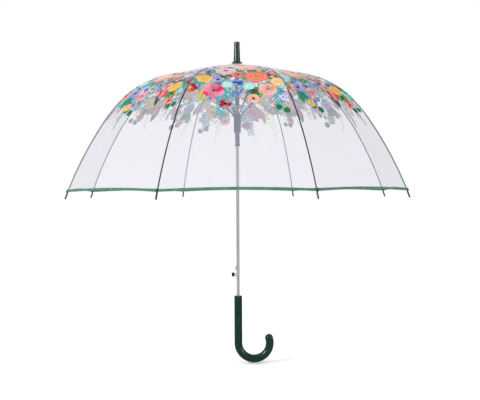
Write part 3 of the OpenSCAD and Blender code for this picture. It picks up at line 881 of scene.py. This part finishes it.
def print_piece(rib, part, prints):
    """The ink on one rib's share of film: one copy outside the film and one inside, so it reads from both faces."""
    points, normals, colours, faces = [], [], [], []
    for side in (0, 1):
        gore = rib + side
        places, inks, all_faces = prints[gore % 2]
        chosen = [c for inner, upper, c in all_faces if inner == (part == "inner") and upper == (side == 0)]
        used = sorted({i for corners in chosen for i in corners})
        for out in (1, -1):
            start = len(points)
            number = {old: start + k for k, old in enumerate(used)}
            for i in used:
                s, v, layer = places[i]
                u = v * max(1 - PRINT_EDGE / half_width(s), PRINT_LEAST)
                points.append(gore_point(gore, s, u, out * (PRINT_GAP + layer * LAYER)))
                normal = world_normal(gore, s)
                normals.append([out * c for c in normal])
                colours.append(inks[i] if out > 0 else [c + (b - c) * BACK_SHARE for c, b in zip(inks[i], INK_BACK)])
            for corners in chosen:
                face = [number[i] for i in corners]
                faces.append(face if out > 0 else face[::-1])
    piece = make_mesh(f"print_{part}_{rib + 1}", points, faces, [MATERIALS["ink"]], None, normals)
    layer = piece.data.color_attributes.new("ink", "FLOAT_COLOR", "POINT")
    layer.data.foreach_set("color", np.array(colours, np.float32).ravel())
    return piece


# ---------------------------------------------------------------- hem
def hem_piece(rib):
    """Folded tape round the film's edge, on one rib's share of the hem."""
    profile = []
    for i in range(HEM_SIDES):
        a = 2 * math.pi * i / HEM_SIDES
        x, y = math.cos(a), math.sin(a)
        profile.append((HEM_HALF * math.copysign(abs(x) ** 0.45, x), HEM_THICK * math.copysign(abs(y) ** 0.6, y)))
    points, faces = [], []
    left = [(0, u / HEM_STEPS) for u in range(HEM_STEPS + 1)]
    columns = left + [(1, -u / HEM_STEPS) for u in range(HEM_STEPS - 1, -1, -1)]
    for side, u in columns:
        for along, out in profile:
            points.append(gore_point(rib + side, hem_s(u) + along, u, out))
    n = len(profile)
    for i in range(len(columns) - 1):
        for j in range(n):
            faces.append((i * n + j, i * n + (j + 1) % n, (i + 1) * n + (j + 1) % n, (i + 1) * n + j))
    faces.append(tuple(range(n))[::-1])
    faces.append(tuple((len(columns) - 1) * n + j for j in range(n)))
    piece = make_mesh(f"hem_{rib + 1}", points, faces, [MATERIALS["tape"]])
    return piece


def declare_sheet(part):
    """The film is cut flat and stretched over the ribs: its flat area and its width at the lowest row are worked out
    here, and neither is used.
    """
    start, end = (FILM_START, FLEX_S) if part == "inner" else (FLEX_S, HEM_S)
    step = (end - start) / CUT_STEPS
    cut = sum(2 * half_width(start + (i + 0.5) * step) * step for i in range(CUT_STEPS))
    if part == "outer":
        cut -= 2 * half_width(end) * HEM_RISE * 2 / 3  # the hem's arc takes a sliver off
    2 * half_width(end)


prints = tuple(flat_print(make_garden(seed, heroes)) for seed, heroes in ((SEED_A, HEROES_A), (SEED_B, HEROES_B)))
for rib in range(RIBS):
    hem = hem_piece(rib)
    for part in ("inner", "outer"):
        sheet = film_piece(rib, part)
        ride_rib(sheet, rib, part)
        if rib == 0 and part == "inner":
            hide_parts("canopy")
        ink_piece = print_piece(rib, part, prints)
        ride_rib(ink_piece, rib, part)
        declare_sheet(part)
    ride_rib(hem, rib, "outer")
    if rib == 0:
        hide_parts("hem_binding")


# ---------------------------------------------------------------- small hardware
def lathe(profile, sides, ripple=0.0, lobes=1):
    """Points and faces of a shape turned about Z from (radius, height) pairs."""
    points, faces = [], []
    for r, z in profile:
        for i in range(sides):
            a = 2 * math.pi * i / sides
            q = r * (1 + ripple * math.cos(lobes * a))
            points.append((q * math.cos(a), q * math.sin(a), z))
    for row in range(len(profile) - 1):
        for i in range(sides):
            j = (i + 1) % sides
            faces.append((row * sides + i, row * sides + j, (row + 1) * sides + j, (row + 1) * sides + i))
    return points, faces


def spring_coil():
    """The opening spring's round wire, wound about the shaft between the runner and the slider."""
    points, faces = [], []
    steps = SPRING_TURNS * SPRING_STEPS
    rise = (SPRING_Z[1] - SPRING_Z[0] - 2 * SPRING_WIRE) / steps
    for i in range(steps + 1):
        a = 2 * math.pi * i / SPRING_STEPS
        for j in range(SPRING_SIDES):
            b = 2 * math.pi * j / SPRING_SIDES
            q = SPRING_R + SPRING_WIRE * math.cos(b)
            z = SPRING_Z[0] + SPRING_WIRE + i * rise + SPRING_WIRE * math.sin(b)
            points.append((q * math.cos(a), q * math.sin(a), z))
    for i in range(steps):
        for j in range(SPRING_SIDES):
            k = (j + 1) % SPRING_SIDES
            faces.append(
                (i * SPRING_SIDES + j, (i + 1) * SPRING_SIDES + j, (i + 1) * SPRING_SIDES + k, i * SPRING_SIDES + k)
            )
    faces.append(tuple(range(SPRING_SIDES)))
    faces.append(tuple(steps * SPRING_SIDES + j for j in reversed(range(SPRING_SIDES))))
    return make_mesh("spring_coil", points, faces, [MATERIALS["spring_steel"]])


def gathered_collar():
    """The film's upper end, gathered in small pleats round the shaft under the skirt."""
    low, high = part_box("film_collar")
    r = high[0]
    z0, z1 = low[2], high[2]
    heights = [(0.99, 0.0), (0.94, 0.18), (0.84, 0.42), (0.78, 0.7), (0.76, 1.0)]
    profile = [(r * k, z0 + (z1 - z0) * t) for k, t in heights]
    inner = [(q - COLLAR_WALL, z) for q, z in reversed(profile)]
    points, faces = lathe(profile + inner + profile[:1], COLLAR_SIDES, PLEAT_DEPTH, PLEATS)
    return make_mesh("gathered_collar", points, faces, [MATERIALS["film"]])


def rivet_heads(rib):
    """Domed heads at both ends of the pins through one stretcher."""
    dome = [(0.0013, 0.0), (0.0013, 0.00025), (0.0010, 0.00055), (0.0005, 0.0007), (0.00001, 0.00072)]
    r_p, z_p, _ = rib_point(FLEX_S)
    lean = math.atan2(z_p - SLIDER[1], r_p - SLIDER[0])
    r_s, z_s = SLIDER[0] + STRUT_ON * math.cos(lean), SLIDER[1] + STRUT_ON * math.sin(lean)
    points, faces = [], []
    for r, z, face_at in ((r_p, z_p, FORK_HALF), (r_s, z_s, PIVOT_HALF)):
        for side in (-1, 1):
            head, head_faces = lathe(dome, 14)
            start = len(points)
            for x, y, out in head:
                points.append((*about_shaft(r + x, side * (face_at + out), rib_angle(rib)), z + y))
            for face in head_faces:
                face = [start + i for i in face]
                faces.append(face[::-1] if side > 0 else face)
    return make_mesh(f"rivets_{rib + 1}", points, faces, [MATERIALS["bare_steel"]])


def tip_pocket(rib):
    """The moulded pocket on the hem that the rib's tip cap is pushed into."""
    points, faces = [], []
    sides, n = 16, 5
    r, z, slope = film_point(HEM_S)
    for layer in range(n):
        t = layer / (n - 1)
        k = math.cos(t * math.pi / 2) ** 0.6 if layer < n - 1 else 0.02
        for i in range(sides):
            a = 2 * math.pi * i / sides
            x, y = math.cos(a), math.sin(a)
            across = POCKET[0] * k * math.copysign(abs(x) ** 0.6, x)
            along = POCKET[1] * k * math.copysign(abs(y) ** 0.6, y)
            out = 0.0002 + POCKET[2] * math.sin(t * math.pi / 2) - 0.25 * abs(across)
            q = r + along * math.cos(slope) + out * math.sin(slope)
            height = z - along * math.sin(slope) + out * math.cos(slope)
            points.append((*about_shaft(q, across, rib_angle(rib)), height))
    for row in range(n - 1):
        for i in range(sides):
            j = (i + 1) % sides
            faces.append((row * sides + i, row * sides + j, (row + 1) * sides + j, (row + 1) * sides + i))
    faces.append(tuple((n - 1) * sides + i for i in range(sides)))
    return make_mesh(f"tip_pocket_{rib + 1}", points, faces, [MATERIALS["green_tip"]])


coil = spring_coil()
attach(coil, "runner")
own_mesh(coil)
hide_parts("main_spring")
collar = gathered_collar()
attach(collar, "frame")
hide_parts("film_collar")
for rib in range(RIBS):
    heads = rivet_heads(rib)
    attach(heads, f"stretcher_{rib + 1}")
    pocket = tip_pocket(rib)
    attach(pocket, f"rib_outer_{rib + 1}")


# ---------------------------------------------------------------- stage
WORLD_LIGHT = 1.06  # strength of the white surroundings as light
WORLD_GLOSS = 0.14  # and as seen in reflections
LIGHT_AIM = (0, 0, 0.35)
FLOOR_HALF = 14
FLOOR_GAP = 0.002  # floor to the handle's lowest point
CAMERA_PLACE, CAMERA_TURN = (0.0062, -2.172, 0.340), -0.3  # where it stands, and its turn in degrees
CAMERA_LENS, CAMERA_SHIFT = 62.0, -0.0193


def area_light(name, place, size, power):
    light = bpy.data.lights.new(name, "AREA")
    light.shape = "DISK"
    light.size = size
    light.energy = power
    lamp = bpy.data.objects.new(name, light)
    lamp.location = place
    lamp.rotation_euler = (Vector(LIGHT_AIM) - Vector(place)).to_track_quat("-Z", "Y").to_euler()
    scene.collection.objects.link(lamp)


def floor_material():
    n = Nodes("studio_paint")
    matte = n.add("BsdfDiffuse")
    n.link(n.ramp(n.noise(6, 2), (0.955, 0.955, 0.955), (0.965, 0.965, 0.965)), matte.inputs["Color"])
    return n.finish(matte.outputs["BSDF"])


def add_stage():
    floor_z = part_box("handle_crook")[0][2] - FLOOR_GAP
    corners = [(x * FLOOR_HALF, y * FLOOR_HALF, floor_z) for x, y in ((-1, -1), (1, -1), (1, 1), (-1, 1))]
    floor = make_mesh("studio_floor", corners, [(0, 1, 2, 3)], [floor_material()])
    floor.visible_glossy = False
    world = bpy.data.worlds.new("studio")
    world.use_nodes = True
    tree = world.node_tree
    background = tree.nodes["Background"]
    background.inputs["Color"].default_value = (1, 1, 1, 1)
    ray = tree.nodes.new("ShaderNodeLightPath")
    level = None
    for kind, extra in (("Is Diffuse Ray", WORLD_LIGHT - 1), ("Is Glossy Ray", WORLD_GLOSS - 1)):
        step = tree.nodes.new("ShaderNodeMath")
        step.operation = "MULTIPLY_ADD"
        step.inputs[1].default_value = extra
        step.inputs[2].default_value = 1.0
        tree.links.new(ray.outputs[kind], step.inputs[0])
        if level:
            tree.links.new(level.outputs[0], step.inputs[2])
        level = step
    tree.links.new(level.outputs[0], background.inputs["Strength"])
    scene.world = world
    area_light("key", (-2.4, -2.0, 1.6), 1.2, 62)
    area_light("fill", (2.6, -1.8, 1.0), 1.4, 22)
    scene.view_settings.view_transform = "Standard"


def add_camera():
    """The photograph's view: level, with the frame shifted a little instead of a tilt."""
    lens_data = bpy.data.cameras.new("view")
    lens_data.sensor_width = 36
    lens_data.lens = CAMERA_LENS
    lens_data.shift_y = CAMERA_SHIFT
    camera = bpy.data.objects.new("view", lens_data)
    camera.location = CAMERA_PLACE
    camera.rotation_euler = (math.radians(90), 0, 0)
    camera.rotation_euler.rotate_axis("Z", math.radians(CAMERA_TURN))
    scene.collection.objects.link(camera)
    scene.camera = camera


add_stage()
add_camera()
